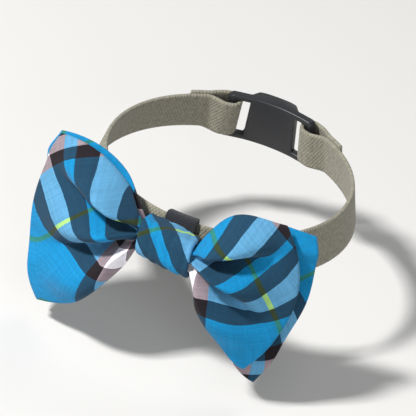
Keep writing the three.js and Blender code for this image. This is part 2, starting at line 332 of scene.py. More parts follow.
# %% Stripes on the bias
WANDER = 0.4
BIAS = math.radians(45)


def bias_map(material, cut):
    """The cut map turned by the bias: its y runs across the warp stripes, its x across the weft ones.

    Noise moves the map a little before it is turned, because woven stripes are never quite straight.
    """
    wander = node(material, "ShaderNodeTexNoise", {"Vector": cut, "Scale": 260, "Detail": 1})
    offset = node(material, "ShaderNodeVectorMath", {0: wander.outputs["Color"], 1: (0.5, 0.5, 0.5)},
                  operation="SUBTRACT")
    nudge = node(material, "ShaderNodeVectorMath", {0: offset.outputs[0], "Scale": WANDER * MM},
                 operation="SCALE")
    moved = node(material, "ShaderNodeVectorMath", {0: cut, 1: nudge.outputs[0]}, operation="ADD")
    turned = node(material, "ShaderNodeVectorRotate", {"Vector": moved.outputs[0], "Angle": BIAS},
                  rotation_type="Z_AXIS")
    return turned.outputs[0]


def stripe_colours(material, across, warp_middle, weft_middle):
    """Each crossing's colour: a ramp over the weft for each warp yarn, chosen by masks over the warp.

    A place in mm over the repeat, less its whole part, is the share of the sett at that place.
    """
    places = []
    for socket, middle in ((across.outputs[1], warp_middle), (across.outputs[0], weft_middle)):
        repeats = maths(material, "MULTIPLY_ADD", socket, 1 / (REPEAT * MM), -middle / REPEAT)
        places.append(maths(material, "FRACT", repeats))
    warp, weft = places
    colour = sett_ramp(material, weft, lambda yarn: crossing("blue", yarn))
    for kind in ("black", "white", "green"):
        mask = sett_ramp(material, warp, lambda yarn: (1, 1, 1, 1) if yarn == kind else (0, 0, 0, 1))
        row = sett_ramp(material, weft, lambda yarn: crossing(kind, yarn))
        colour = blend(material, mask, colour, row)
    return colour


# %% [markdown]
# Over the colours lies the shade of the yarns. Cotton yarn is never quite even: it leaves streaks
# that run the whole length of the warp and the weft, and small flecks. Noise that is drawn out along
# one direction gives the streaks. The twill is a fine sine wave on the diagonal of the two families.

# %% Yarns and twill
TWILL, TWILL_HEIGHT = 0.85, 0.3
STREAK_SHARE = 0.05
PLAIN_TONE, TWILL_TONE, YARN_TONE, FLECK_TONE = 0.46, 0.05, 0.44, 0.16


def twill_lines(material, across):
    """The twill's diagonal: a sine of the sum of the two places across the stripes."""
    sums = maths(material, "ADD", across.outputs[0], across.outputs[1])
    return maths(material, "SINE", maths(material, "MULTIPLY", sums, 2 * math.pi / (TWILL * MM)))


def yarn_shade(material, turned, twill, fleck):
    """The shade that the colours are multiplied by: a plain tone, plus twill, streaks and flecks."""
    streaks = 0.0
    for stretch in ((1, STREAK_SHARE, 1), (STREAK_SHARE, 1, 1)):
        drawn = node(material, "ShaderNodeVectorMath", {0: turned, 1: stretch}, operation="MULTIPLY")
        yarns = node(material, "ShaderNodeTexNoise", {"Vector": drawn.outputs[0], "Scale": 1100,
                                                      "Detail": 2})
        streaks = maths(material, "ADD", yarns.outputs[0], streaks)
    shade = maths(material, "MULTIPLY_ADD", twill, TWILL_TONE, PLAIN_TONE)
    shade = maths(material, "MULTIPLY_ADD", streaks, YARN_TONE, shade)
    shade = maths(material, "MULTIPLY_ADD", fleck, FLECK_TONE, shade)
    return node(material, "ShaderNodeCombineColor", {0: shade, 1: shade, 2: shade}).outputs[0]


def plaid_cloth(name, warp_middle, weft_middle):
    """Plaid cotton: the colours of the crossings times the shade of the yarns, with twill as bump.

    The two middles are the places in mm of the narrow blue stripe in the middle of each group.
    """
    material, shader = new_material(name, roughness=0.86, sheen=0.05)
    shader.inputs["Specular IOR Level"].default_value = 0.25
    cut = node(material, "ShaderNodeUVMap", uv_map="cut").outputs[0]
    turned = bias_map(material, cut)
    across = node(material, "ShaderNodeSeparateXYZ", {0: turned})
    colour = stripe_colours(material, across, warp_middle, weft_middle)
    twill = twill_lines(material, across)
    fleck = node(material, "ShaderNodeTexNoise", {"Vector": cut, "Scale": 900, "Detail": 2}).outputs[0]
    shade = yarn_shade(material, turned, twill, fleck)
    put(material, shader, "Base Color", blend(material, 1.0, colour, shade, "MULTIPLY"))
    height = maths(material, "MULTIPLY_ADD", twill, TWILL_HEIGHT, fleck)
    bump(material, shader, height, distance=0.12, strength=0.55)
    return material


# %% [markdown]
# Each wing of the bow is a sheet that leaves the knot as tight pleats and opens towards its outer
# edge. One row of the table describes one wing, and its side is -1 or 1 along X. Lengths are shares
# of half the bow's span or height: how far the two outer corners reach, how round the outer edge is,
# how high the corners stand, how fast the edges rise next to the knot, and how far the wing droops.
# The next four columns say where the two creases between the folds leave the knot and where they
# end, from the foot at -1 to the top at 1. Cloth on the bias gives, so the last three say how much
# the pattern is drawn out along the lower and the upper part of the wing, as shares, and how far it
# sags in the lower one, in millimetres.

# %% Bow sizes and the wing table
KNOT_LENGTH, KNOT_HEIGHT, KNOT_WALL = 20, 12.8, 1.5
KNOT_FRONT_CORNER, KNOT_BACK_CORNER = 4.4, 2.4
LOOP_LENGTH, LOOP_WALL, LOOP_CORNER = 12, 1.2, 1.35
BOW_SPAN, BOW_HEIGHT = 104, 62
CLOTH_WALL = 1.5
FOLDS, PLEAT_DEPTH, FOLD_DEPTH, BACK_FOLD_DEPTH = 3, 1.1, 5.9, 0.9
FRONT_PUFF, BACK_SET, EDGE_CURL = 4.5, 4.6, 2.5
WING_SWEEP = math.radians(28)
WING_START = KNOT_LENGTH / 2 + GAP
WAIST_HEIGHT = KNOT_HEIGHT - 2 * (KNOT_WALL + GAP)
WAIST_WALL = CLOTH_WALL * math.hypot(1, PLEAT_DEPTH * FOLDS * 2 * math.pi / WAIST_HEIGHT)
WAIST_DEPTH = 2 * PLEAT_DEPTH + 2 * WAIST_WALL + GAP
KNOT_BACK = STRAP_WALL / 2 + 2 * GAP + LOOP_WALL
KNOT_DEPTH = WAIST_DEPTH + 2 * (KNOT_WALL + GAP)
FRONT_FACE = KNOT_BACK + KNOT_WALL + GAP + WAIST_DEPTH - PLEAT_DEPTH
WING_COLUMNS = ("side", "top_reach", "foot_reach", "end_bulge", "top_rise", "foot_rise", "top_full",
                "foot_full", "droop", "top_crease", "top_crease_end", "foot_crease", "foot_crease_end",
                "give_foot", "give_top", "sag")
FRONT_WINGS = [(-1, 1.0, 0.92, 0.11, 1.02, 0.94, 2.3, 3.6, 0.37, 0.26, 0.66, -0.15, -0.28, 0.21, 0.09, 0),
               (1, 0.78, 0.69, 0.20, 0.77, 0.97, 3.9, 1.6, -0.02, 0.26, 0.62, -0.04, -0.44, 0, -0.1, 5)]
BACK_WINGS = [(-1, 1.08, 0.97, 0.12, 0.99, 0.98, 2.5, 2.2, 0.33, 0.26, 0.56, -0.15, -0.34, 0, 0, 0),
              (1, 1.02, 0.79, 0.12, 0.78, 1.07, 3.0, 1.8, 0.03, 0.26, 0.54, -0.04, -0.44, 0, 0, 0)]
print("each wing is", round(BOW_SPAN / 2 - WING_START, 1), "mm long in plan, the waist",
      round(WAIST_DEPTH, 1), "mm deep")

# %% [markdown]
# A wing's outline comes first, with no fold in it. t runs from the knot to the outer edge and v from
# the foot to the top. The half heights grow fast beside the knot and then slowly, which a power does,
# and the outer edge is a parabola. The flat wing is then rolled back on an arc, because the bow lies
# round the neck, and whatever relief the folds have stands out from that arc.

# %% The outline of a wing
def half_heights(wing, t):
    """A wing's half heights above and below its middle line, from the waist's to its full ones."""
    top = mix(WAIST_HEIGHT, BOW_HEIGHT * wing["top_rise"], 1 - (1 - t) ** wing["top_full"]) / 2
    foot = mix(WAIST_HEIGHT, BOW_HEIGHT * wing["foot_rise"], 1 - (1 - t) ** wing["foot_full"]) / 2
    return top, foot


def wing_length(wing, v):
    """A wing's length at v, mixed from the reach of its two corners plus a parabola for the bulge."""
    reach = mix(wing["foot_reach"], wing["top_reach"], (v + 1) / 2) + wing["end_bulge"] * (1 - v * v)
    return BOW_SPAN / 2 * reach - WING_START


def rise_at(wing, t, v):
    """Height of v above the middle line: a parabola in v through the foot, the middle and the top."""
    top, foot = half_heights(wing, t)
    return v * ((top + foot) / 2 + (top - foot) / 2 * v)


def wing_surface(wing, t, v, relief):
    """Bends a wing back round the neck: t from the knot to the end, v from foot to top, relief out."""
    along = t * wing_length(wing, v)
    bend = (BOW_SPAN / 2 - WING_START) / WING_SWEEP
    x = WING_START + (bend + relief) * np.sin(along / bend)
    out = (bend + relief) * np.cos(along / bend) - bend
    return on_bow(wing["side"] * x, rise_at(wing, t, v) - wing["droop"] * along, FRONT_FACE + out)


# %% [markdown]
# Cloth that is pinched does not wave like water: its folds are round arches that meet in sharp
# creases. The power of a sine gives both, because its square is a plain wave and its first power a
# row of arches. So the folds start as even waves inside the knot and sharpen as they open.

# %% Folds of the two sheets
CREASE_TURN, OPEN_SHARE, FADE_SHARE = 0.12, 0.22, 0.9
FOLD_SHARPNESS, FOOT_START = 0.55, 0.35
FOLD_LEANS = (1, 2.1, 2.1)


def opened(t):
    """How open the folds are: 0 in the knot, 1 where they are fullest."""
    return ease(t / OPEN_SHARE)


def held(t):
    """How far the folds still feel the knot: 1 where they are fullest, 0 towards the outer edge."""
    return 1 - ease((t - OPEN_SHARE) / (FADE_SHARE - OPEN_SHARE))


def fold_lines(wing, t):
    """The foot, the two creases and the top: even at the waist, then each crease goes its own way."""
    turned = ease(t / CREASE_TURN)
    even = 1 - 2 / FOLDS
    low = mix(-even, mix(wing["foot_crease"], wing["foot_crease_end"], t), turned)
    high = mix(even, mix(wing["top_crease"], wing["top_crease_end"], t), turned)
    return -1, low, high, 1


def fold_to_v(wing, t, fold):
    """The place between foot and top of a point that lies so many folds above the foot.

    A power of the share along each fold makes it lean down over its lower crease.
    """
    lines = fold_lines(wing, t)
    spots = []
    for k, lean in enumerate(FOLD_LEANS):
        share = np.clip(fold - k, 0, 1) ** mix(1, lean, opened(t) * held(t))
        spots.append(mix(lines[k], lines[k + 1], share))
    return np.where(fold < 1, spots[0], np.where(fold < 2, spots[1], spots[2]))


def fold_wave(t, fold):
    """Height of a fold, from -1 at its creases to 1 at its ridge, sharper as the cloth opens.

    The lowest fold has no crease at the foot, so the foot edge comes forward as the fold opens.
    """
    full = opened(t) * held(t)
    start = FOOT_START * full
    phase = np.where(fold < 1, mix(start, 1, fold), fold)
    return 2 * abs(np.sin(np.pi * phase)) ** (2 * mix(1, FOLD_SHARPNESS, full)) - 1


# %% [markdown]
# Smaller forms lie on the folds. Fine gathers fan out of the knot, where the cloth is pinched
# hardest, and a slow ripple keeps the wings from looking pressed. A texture could draw them as bump,
# but they change the outline and the shadows, so they are part of the mesh.

# %% Gathers and ripples
GATHERS, GATHER_DEPTH, GATHER_REACH, GATHER_START = 5, 0.3, 0.55, 0.04
GATHER_SHIFT, GATHER_SWAY, SWAY_PITCH = 0.9, 1.1, 2.2
WAVES, WAVE_PITCHES, WAVE_STRETCH, WAVE_START = 6, (4, 9), 1.6, 0.15


def gathers(t, fold, side):
    """Fine waves across each fold, uneven in width, that start at the knot and fade along the wing."""
    phase = GATHER_SHIFT * side + GATHER_SWAY * np.sin(SWAY_PITCH * fold + side)
    shown = (1 - ease(t / GATHER_REACH)) * ease(t / GATHER_START)
    return GATHER_DEPTH * np.cos(GATHERS * np.pi * fold + phase) * shown


def ripple(t, v, seed, depth):
    """A slow unevenness: the mean of a few waves of seeded direction, length and phase."""
    rng = np.random.default_rng(seed)
    total = np.zeros(np.broadcast(t, v).shape)
    for _ in range(WAVES):
        turn, phase = rng.uniform(0, np.pi), rng.uniform(0, 2 * np.pi)
        pitch = rng.uniform(*WAVE_PITCHES)
        total = total + np.cos(pitch * (np.cos(turn) * t * WAVE_STRETCH + np.sin(turn) * v) + phase)
    return depth * total / WAVES * ease(t / WAVE_START)


# %% [markdown]
# The relief of a sheet is the sum of its forms. The front sheet is full: deep folds on a puff, with
# edges that curl back. The back sheet is the same cloth hung behind it. It keeps the same creases, so
# that the two lie together at the knot, but it is flat further out.

# %% Relief of the two sheets
FOLD_END, PUFF_LEAN, PUFF_FALL, CURL_POWER = 0.06, 0.7, 0.4, 4
BACK_OPEN_SHARE, BACK_CLOSE = 0.3, 0.1
FRONT_RIPPLE, BACK_RIPPLE = {"seed": 5, "depth": 0.6}, {"seed": 15, "depth": 0.4}


def front_relief(t, v, fold, side):
    """Relief of the front sheet: folds that fade outwards on a puff, with edges that curl back."""
    depth = mix(PLEAT_DEPTH, FOLD_DEPTH, opened(t)) * mix(FOLD_END, 1, held(t))
    puff = FRONT_PUFF * np.sin(np.pi * t ** PUFF_LEAN) * (1 - PUFF_FALL * v * v)
    curl = EDGE_CURL * v ** CURL_POWER * ease(t)
    fine = gathers(t, fold, side) + ripple(t, v, FRONT_RIPPLE["seed"] + side, FRONT_RIPPLE["depth"])
    return depth * fold_wave(t, fold) + puff - curl + fine


def back_relief(t, v, fold, side):
    """Relief of the back sheet, which lies behind the front one and is flatter."""
    spread = ease(t / BACK_OPEN_SHARE)
    depth = mix(PLEAT_DEPTH, BACK_FOLD_DEPTH, spread)
    set_back = BACK_SET * mix(BACK_CLOSE, 1, held(t))
    back = WAIST_WALL + GAP + set_back * spread
    curl = EDGE_CURL / 2 * v ** CURL_POWER * ease(t)
    fine = ripple(t, v, BACK_RIPPLE["seed"] + side, BACK_RIPPLE["depth"])
    return depth * fold_wave(t, fold) - back - curl + fine


# %% [markdown]
# The pattern can't be a flat projection, because part of the cloth is tucked in the creases. Every
# point therefore gets its place on the flat cloth, measured along the way out and up each fold's own
# strip. Cloth on the bias also gives under the pull of the knot, and the table says how much.

# %% Places on the flat cloth
CUT_HEIGHT = 66
TUCK = 0.2
LOW_START, LOW_RUN = 0.5, 0.8
HIGH_START, HIGH_RUN = 0.1, 0.6
SAG_START, SAG_RUN = 0.12, 0.55
FOOT_POWER, TOP_POWER = 4, 2
CUT_SHEAR = math.tan(BOW_LEAN) - math.tan(BOW_TILT)


def flat_reach(wing, t, v, samples=32):
    """Distance from the waist on the flat cloth: the length of the way out along one v, by samples."""
    at = t[..., None] * (np.arange(samples) + 0.5) / samples
    across, step = v[..., None], 1 / 1024
    length = wing_length(wing, across)
    climb = (rise_at(wing, at, across) - rise_at(wing, at - step, across)) / step
    way = np.hypot(length, climb - wing["droop"] * length)
    return WING_START + t * way.mean(-1)


def flat_height(wing, t, v, fold):
    """Height on the flat cloth, in proportion near the outer edge and fold by fold near the knot.

    There each fold shows its own strip of cloth at full size, and the rest is tucked in the creases.
    """
    lines = fold_lines(wing, t)
    strips = []
    for k in range(FOLDS):
        centre = (lines[k] + lines[k + 1]) / 2
        strips.append(centre * CUT_HEIGHT / 2 + rise_at(wing, t, v) - rise_at(wing, t, centre))
    shown = strips[0]
    for k in range(1, FOLDS):
        shown = mix(shown, strips[k], ease((fold - k) / TUCK))
    return mix(v * CUT_HEIGHT / 2, shown, held(t))


def flat_place(wing, t, v, fold):
    """Place on the flat cloth: along and up the wing, with the give of its lower and upper part.

    The low part grows downwards from LOW_START and the high one upwards from HIGH_START, in shares
    of half the wing's height. The give outwards grows with powers of t, and the sag eases in.
    """
    low = ease((LOW_START - v) / LOW_RUN)
    high = ease((v - HIGH_START) / HIGH_RUN)
    give = wing["give_foot"] * low * t ** FOOT_POWER + wing["give_top"] * high * t ** TOP_POWER
    reach = flat_reach(wing, t, v) * (1 - give)
    sag = wing["sag"] * ease((t - SAG_START) / SAG_RUN) * low
    height = flat_height(wing, t, v, fold) + sag
    return np.stack([wing["side"] * reach + CUT_SHEAR * height, height], -1)


# %% [markdown]
# The cloth was turned inside out and pressed, so its edges are folds and not raw cuts. The two faces
# of each sheet draw together over the last millimetre and meet in a round edge. The rows of the grid
# follow the folds, so that each crease runs along one row and stays sharp. Where the cloth is steep
# its wall is drawn thicker along the relief, so that it keeps its thickness across.

# %% Build one wing
EDGE_ROUND = 1.1
STEEPEST = 2.4


def round_edge(distance, radius=EDGE_ROUND):
    """1 inside the cloth, and a quarter circle down to 0 over the last stretch before its edge."""
    share = np.clip(distance / radius, 0, 1)
    return np.sqrt(np.clip(1 - (1 - share) ** 2, 0, 1))


def wing_sheet(wing, relief, steps, rows):
    """Outer points, inner points and flat places of one wing, from the knot to its outer edge."""
    t = (crowd_ends(2 * steps)[steps:])[:, None]
    each = crowd_ends(rows, strength=0.55) / 2 + 0.5
    fold = np.concatenate([each[:-1], each[:-1] + 1, each + 2])[None, :]
    v = fold_to_v(wing, t, fold)
    up = rise_at(wing, t, v)
    surface = relief(t, v, fold, wing["side"])
    slope = abs(np.diff(surface, axis=1) / np.diff(up, axis=1))
    slope = np.maximum(slope[:, [0, *range(slope.shape[1])]], slope[:, [*range(slope.shape[1]), -1]])
    wall = CLOTH_WALL * np.minimum(np.hypot(1, slope), STEEPEST)
    top, foot = half_heights(wing, t)
    thin = round_edge((1 - t) * wing_length(wing, v)) * round_edge(np.minimum(top - up, up + foot))
    middle = surface - wall / 2
    outer = wing_surface(wing, t, v, middle + wall / 2 * thin)
    inner = wing_surface(wing, t, v, middle - wall / 2 * thin)
    return outer, inner, flat_place(wing, t, v, fold)


# %% [markdown]
# Both wings and the waist between them are one cloth, so the grid of the wing at -X is turned round
# and joined to the other wing's at the waist. The same function makes both sheets, each from its own
# table and relief.

# %% Build the two sheets
def bow_sheet(name, table, relief, steps=84, rows=44):
    """A whole sheet: the wing at -X, the waist inside the knot and the wing at +X as one cloth."""
    wings = [dict(zip(WING_COLUMNS, row)) for row in table]
    minus, plus = (wing_sheet(wing, relief, steps, rows) for wing in wings)
    outer, inner, flat = (np.concatenate([a[::-1], b]) for a, b in zip(minus, plus))
    return two_faced(name, outer, inner, flat)


back_bow = bow_sheet("back_cloth", BACK_WINGS, back_relief)
front_bow = bow_sheet("front_cloth", FRONT_WINGS, front_relief)
bow_plaid = plaid_cloth("bow_plaid", warp_middle=-14.4, weft_middle=15.2)
back_plaid = plaid_cloth("back_plaid", warp_middle=19.5, weft_middle=69.0)
front_bow.data.materials.append(bow_plaid)
back_bow.data.materials.append(back_plaid)
for sheet, row in ((front_bow, "front_bow"), (back_bow, "back_bow")):
    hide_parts(row)

# %% [markdown]
# A sleeve is a closed ring carried along a line. The knot and the elastic loop are both sleeves with
# a wall, so one helper makes them: rings of points for the outside and the inside, which meet in a
# round edge at both ends.

# %% Sleeves
def sleeve(name, outer, inner, flat):
    """A closed sleeve from two grids of rings along axis 0, which meet at both ends of the sleeve.

    The flat places have one more column than the rings, because the cloth's two ends meet there.
    """
    rings, around = outer.shape[:2]
    front = np.arange(rings * around).reshape(rings, around)
    back = front + rings * around
    back[0], back[-1] = front[0], front[-1]
    wrap = [np.concatenate([grid, grid[:, :1]], 1) for grid in (front, back)]
    faces = np.concatenate([grid_faces(wrap[0])[:, ::-1], grid_faces(wrap[1])])
    points = np.concatenate([outer.reshape(-1, 3), inner.reshape(-1, 3)])
    cut = grid_faces(np.arange(rings * (around + 1)).reshape(rings, around + 1))
    places = flat.reshape(-1, 2)[np.concatenate([cut[:, ::-1], cut])]
    used, faces = np.unique(faces, return_inverse=True)
    return make_piece(name, points[used], faces.reshape(-1, 4), places)


def rounded_section(share, a, b, front_radius, back_radius, corner_steps=16):
    """A rounded rectangle by share of a turn: half sizes a and b, and corner radii at +b and at -b.

    Points are spread evenly along its length, which is the last value returned.
    """
    corners = []
    for k, radius in enumerate((front_radius, front_radius, back_radius, back_radius)):
        centre = np.array([[1, -1, -1, 1][k] * (a - radius), [1, 1, -1, -1][k] * (b - radius)])
        turn = (k + np.linspace(0, 1, corner_steps + 1)) * np.pi / 2
        corners.append(centre + radius * np.stack([np.cos(turn), np.sin(turn)], 1))
    outline = np.concatenate([*corners, corners[0][:1]])
    travel = np.concatenate([[0], np.linalg.norm(np.diff(outline, axis=0), axis=1).cumsum()])
    place = (share % 1) * travel[-1]
    return np.interp(place, travel, outline[:, 0]), np.interp(place, travel, outline[:, 1]), travel[-1]


# %% [markdown]
# The knot is a band of the same plaid, its raw edges folded under, wrapped once round both waists and
# sewn behind. Pulled tight, it bulges a little between its edges and shows shallow creases that run
# the way the band was pulled.

# %% Knot
KNOT_PUFF, KNOT_CREASE, KNOT_SWAY = 0.5, 0.28, 1.2
KNOT_CREASES = ((-6.2, 0.9), (-1.8, 1.1), (3.4, 0.8), (6.9, 1.0))
KNOT_SEAM = -0.3


def knot_band(steps=60, around=180):
    """A sleeve whose section is a rounded rectangle, puffed in the middle and creased along the wrap.

    The section starts at the end of its top side, and the cloth's flat height is 0 at the middle of
    the front. The two ends of the cloth meet behind.
    """
    x = (crowd_ends(steps, strength=0.8) * KNOT_LENGTH / 2)[:, None]
    lap = (np.arange(around + 1) / around)[None, :] + KNOT_SEAM
    share = lap[:, :-1]
    puff = KNOT_PUFF * (1 - (2 * x / KNOT_LENGTH) ** 2)
    creases = sum(np.exp(-((x - at - KNOT_SWAY * np.sin(2 * np.pi * share + at)) / wide) ** 2)
                  for at, wide in KNOT_CREASES)
    thin = round_edge(KNOT_LENGTH / 2 - abs(x))
    centre = KNOT_BACK + KNOT_DEPTH / 2
    up, out, length = rounded_section(share, KNOT_HEIGHT / 2, KNOT_DEPTH / 2,
                                      KNOT_FRONT_CORNER, KNOT_BACK_CORNER)
    grids = []
    for face in (1, -1):
        depth = KNOT_WALL / 2 * (1 - face * thin)
        grow = puff - KNOT_CREASE * creases if face > 0 else 0 * puff
        scale_up = 1 + (grow - depth) / (KNOT_HEIGHT / 2)
        scale_out = 1 + (grow - depth) / (KNOT_DEPTH / 2)
        grids.append(on_bow(x + 0 * share, up * scale_up, centre + out * scale_out))
    front_middle = KNOT_FRONT_CORNER * (np.pi / 2 - 1) + KNOT_HEIGHT / 2
    height = front_middle - lap * length
    flat = np.stack(np.broadcast_arrays(x + CUT_SHEAR * height, height), -1)
    return sleeve("knot_cloth", grids[0], grids[1], flat)


knot = knot_band()
knot.data.materials.append(plaid_cloth("knot_plaid", warp_middle=-0.2, weft_middle=34.8))
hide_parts("knot")

# %% [markdown]
# The neck strap is woven webbing. In plan its mid line starts at a folded end, turns round the
# clasp's bar, goes round the neck and comes back the same way, so one path and one section make it.

# %% Strap path
CLASP_LENGTH, CLASP_BAR = 36, 3
STRAP_TAIL = 16


def nape_angle(length):
    """Angle round the neck for a length along the strap near the nape."""
    return length / RING_WIDTH


def strap_path(tail_steps=36, wrap_steps=20, round_steps=260):
    """Rows of angle and distance outwards along the strap's mid line, from one end to the other."""
    bar = (CLASP_LENGTH - CLASP_BAR) / 2
    wrap = math.hypot(CLASP_BAR, CLASP_BAR) / 2 + GAP + STRAP_WALL / 2
    layer = STRAP_WALL + GAP
    length = np.linspace(0, STRAP_TAIL, tail_steps + 1)
    settle = ease((length - CLASP_BAR / 2 - GAP) / (STRAP_TAIL / 2))
    turn = np.linspace(0, np.pi, wrap_steps + 1)[1:-1]
    tail = np.stack([bar + length, mix(wrap, layer, settle)], 1)[::-1]
    fold = np.stack([bar - wrap * np.sin(turn), wrap * np.cos(turn)], 1)
    run = np.stack([bar + length, mix(-wrap, 0, settle)], 1)
    near = np.concatenate([tail, fold, run])
    near[:, 0] = nape_angle(near[:, 0])
    far = near[::-1] * [-1, 1] + [2 * np.pi, 0]
    angles = np.linspace(near[-1, 0], far[0, 0], round_steps + 1)[1:-1]
    return np.concatenate([near, np.stack([angles, 0 * angles], 1), far])


# %% [markdown]
# Webbing is a flat band with a woven selvage, so its edges are round and its faces flat. A curve with
# a bevel shape would twist where the strap folds back on itself. A grid laid along the path, with one
# row per step and its two faces drawn together at the borders, keeps the band level everywhere.

# %% Strap
SELVAGE = 0.7


def webbing(name, path, wall, width, columns=14):
    """A flat band along the path, with round edges; its map holds the length and the place across."""
    points = path * [RING_WIDTH, 1]
    along = np.gradient(points, axis=0)
    along /= np.linalg.norm(along, axis=1)[:, None]
    across = np.stack([-along[:, 1], along[:, 0]], 1)
    travel = np.concatenate([[0], np.linalg.norm(np.diff(points, axis=0), axis=1).cumsum()])[:, None]
    up = (-crowd_ends(columns) * width / 2)[None, :]
    to_end = np.minimum(travel, travel[-1] - travel)
    thin = round_edge(width / 2 - abs(up), SELVAGE) * round_edge(to_end, SELVAGE)
    sides = []
    for side in (1, -1):
        spots = points[:, None] + across[:, None] * (side * wall / 2 * thin)[..., None]
        sides.append(on_neck(spots[..., 0] / RING_WIDTH, spots[..., 1], up + 0 * travel))
    flat = np.stack(np.broadcast_arrays(travel, up), -1)
    print(name, round(travel[-1, 0]), "mm long")
    return two_faced(name, *sides, flat)


# %% [markdown]
# Up close, webbing is a pattern of small lumps where the weft ducks under the warp. Two sine waves
# multiplied, one along the band and one across it, give that checker of lumps. It drives the bump,
# and it also paints shade into the colour, so that the hollows are painted dark as well as deep.
# The elastic is the same weave, only finer and black.

# %% Webbing material
# Painted shade: the weave's hollows are darkened in the colour, down to a share of it that dark noise
# flecks also reach.
PAINTED_WEAVE_SHADE, HOLLOW_SHADE_AND_FLECK_TONE, WEAVE_HEIGHT = 0.22, 0.62, 0.5


def woven_band(name, colour, pick, wales, roughness=0.9):
    """Webbing: picks across its length and wales across its width, crossing like basket work, with painted
    shade in the hollows and random flecks of tone.
    """
    material, shader = new_material(name, roughness, sheen=0.1)
    cut = node(material, "ShaderNodeUVMap", uv_map="cut").outputs[0]
    place = node(material, "ShaderNodeSeparateXYZ", {0: cut})
    along = maths(material, "MULTIPLY", place.outputs[0], 2 * math.pi / (pick * MM))
    across = maths(material, "MULTIPLY", place.outputs[1], math.pi / (wales * MM))
    weave = maths(material, "MULTIPLY", maths(material, "SINE", along), maths(material, "SINE", across))
    fleck = node(material, "ShaderNodeTexNoise", {"Vector": cut, "Scale": 700, "Detail": 3})
    # The colour is darkened where the weave is low, as painted shade in its hollows, and varies at random
    # with the flecks.
    level = maths(material, "MULTIPLY_ADD", weave, PAINTED_WEAVE_SHADE, fleck.outputs[0])
    dark = linear([HOLLOW_SHADE_AND_FLECK_TONE * c for c in colour])
    put(material, shader, "Base Color", blend(material, level, dark, linear(colour)))
    height = maths(material, "MULTIPLY_ADD", weave, WEAVE_HEIGHT, fleck.outputs[0])
    bump(material, shader, height, distance=0.25, strength=0.8)
    return material


strap = webbing("strap_webbing", strap_path(), STRAP_WALL, STRAP_WIDTH)
strap.data.materials.append(woven_band("khaki_webbing", (158, 154, 136), pick=1.3, wales=1.0))
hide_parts("neck_strap")

# %% [markdown]
# Each end of the webbing is folded round the clasp's bar and sewn down with a box and a cross, as on
# any collar that has to bear a pull. Stitches could be bump alone, but a thread stands clear of the
# webbing and catches the light. Each stitch is a short arc of thread whose ends dive into the cloth.

# %% Stitch lines
STITCH_LENGTH, STITCH_PITCH, THREAD = 2.1, 2.5, 0.5
BOX_NEAR, BOX_FAR, BOX_HALF = 7.6, 14.4, 5.8
THREAD_RISE, THREAD_SINK = 0.45, 0.25


def stitch_line(start, end, steps=6):
    """Runs of points (length, up, out) for the stitches between two places on the webbing."""
    start, end = np.array(start), np.array(end)
    length = np.linalg.norm(end - start)
    count = round(length / STITCH_PITCH)
    runs = []
    for k in range(count):
        s = np.linspace(-1, 1, steps + 1)
        share = (k + 0.5) / count + s * STITCH_LENGTH / 2 / length
        places = start + (end - start) * share[:, None]
        out = THREAD_RISE * (1 - s * s) - THREAD_SINK
        runs.append(np.column_stack([places, out]))
    return runs


# %% [markdown]
# A curve with a round bevel makes the thread's tube for all stitches at once. It is turned into a
# mesh at the end, because a mesh has a sure size and place wherever it is used.

# %% Box stitches
def box_stitches(name):
    """One mesh with a box and a cross of stitches on each of the two folded ends."""
    corners = [(BOX_NEAR, -BOX_HALF), (BOX_FAR, -BOX_HALF), (BOX_FAR, BOX_HALF), (BOX_NEAR, BOX_HALF)]
    lines = [(0, 1), (1, 2), (2, 3), (3, 0), (0, 2), (1, 3)]
    curve = bpy.data.curves.new(name, "CURVE")
    curve.dimensions, curve.bevel_depth, curve.bevel_resolution = "3D", THREAD / 2 * MM, 2
    curve.use_fill_caps = True
    surface = STRAP_WALL + GAP + STRAP_WALL / 2
    bar = (CLASP_LENGTH - CLASP_BAR) / 2
    for end in (1, -1):
        for a, b in lines:
            for run in stitch_line(corners[a], corners[b]):
                points = on_neck(end * nape_angle(bar + run[:, 0]), surface + run[:, 2], run[:, 1])
                spline = curve.splines.new("POLY")
                spline.points.add(len(points) - 1)
                places = np.column_stack([points * MM, np.ones(len(points))])
                spline.points.foreach_set("co", places.ravel())
    threads = bpy.data.objects.new(name, curve)
    bpy.context.scene.collection.objects.link(threads)
    shown = threads.evaluated_get(bpy.context.evaluated_depsgraph_get())
    mesh = bpy.data.meshes.new_from_object(shown)
    bpy.data.objects.remove(threads)
    bpy.data.curves.remove(curve)
    piece = bpy.data.objects.new(name, mesh)
    bpy.context.scene.collection.objects.link(piece)
    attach(piece, "root")
    print(name, len(mesh.polygons), "faces")
    return piece


# %% [markdown]
# The thread is a shade lighter than the webbing. It is too thin for its twist to show, so a fine
# noise in its colour and bump is all the finish that it needs.

# %% Thread
THREAD_TONE = 0.7


def waxed_thread(name, colour):
    """Sewing thread: a fine noise in its colour and its bump."""
    material, shader = new_material(name, roughness=0.6, sheen=0.1)
    place = node(material, "ShaderNodeTexCoord").outputs["Object"]
    fibre = node(material, "ShaderNodeTexNoise", {"Vector": place, "Scale": 3000, "Detail": 2})
    dark = linear([THREAD_TONE * c for c in colour])
    put(material, shader, "Base Color", blend(material, fibre.outputs[0], dark, linear(colour)))
    bump(material, shader, fibre.outputs[0], distance=0.08, strength=0.5)
    return material


stitches = box_stitches("strap_stitches")
stitches.data.materials.append(waxed_thread("khaki_thread", (196, 190, 168)))

# %% [markdown]
# The elastic loop is a plain band round the strap, hidden behind the knot. It lies on the slope of
# the neck as the strap does. It is one more sleeve, whose section is the strap's own with the gap and
# the loop's wall round it, so that it always fits the strap.

